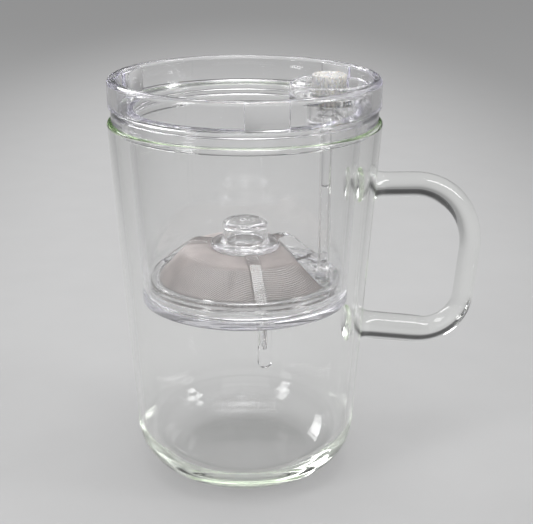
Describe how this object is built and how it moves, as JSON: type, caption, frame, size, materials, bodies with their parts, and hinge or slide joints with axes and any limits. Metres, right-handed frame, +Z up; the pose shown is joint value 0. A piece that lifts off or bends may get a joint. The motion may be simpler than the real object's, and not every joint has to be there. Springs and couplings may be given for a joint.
{
  "type": "tea infuser mug",
  "caption": "Clear glass tea mug with a fused rod handle and a lift-out clear infuser whose press button drains brewed tea through a sprung stopper valve.",
  "frame": {"origin": "on the mug's axis, at the flat underside that stands on the table", "axes": "+Z up along the mug's axis, +X towards the handle and the button, +Y across"},
  "size_m": [0.1291, 0.0878, 0.1336],
  "materials": {
    "glass": "clear, fire-polished, faint green at thick edges",
    "clear_plastic": "clear moulded plastic, glossy",
    "frosted_plastic": "frosted clear plastic, fluted",
    "silicone": "translucent silicone rubber",
    "nylon_mesh": "fine woven mesh",
    "spring_steel": "bright stainless wire"
  },
  "bodies": {
    "mug": {"mug_body": "glass", "mug_handle": "glass"},
    "infuser": {"infuser_cup": "clear_plastic", "collar_ring": "clear_plastic", "base_cap": "clear_plastic", "base_seal": "silicone", "return_spring": "spring_steel"},
    "plunger": {"push_button": "frosted_plastic", "push_rod": "clear_plastic", "stopper_pin": "clear_plastic", "valve_stopper": "silicone"},
    "strainer": {"strainer_frame": "clear_plastic", "strainer_mesh": "nylon_mesh", "strainer_knob": "clear_plastic"}
  },
  "joints": [
    {"name": "infuser_lift", "type": "slide", "parent": "mug", "child": "infuser", "axis": [0, 0, 1], "range_m": [0, 0.08]},
    {"name": "button_press", "type": "slide", "parent": "infuser", "child": "plunger", "axis": [0, 0, -1], "range_m": [0, 0.0045], "stiffness_N_per_m": 250, "springref_m": -0.003, "deforming": ["return_spring"]},
    {"name": "strainer_lift", "type": "slide", "parent": "infuser", "child": "strainer", "axis": [0, 0, 1], "range_m": [0, 0.044]}
  ]
}
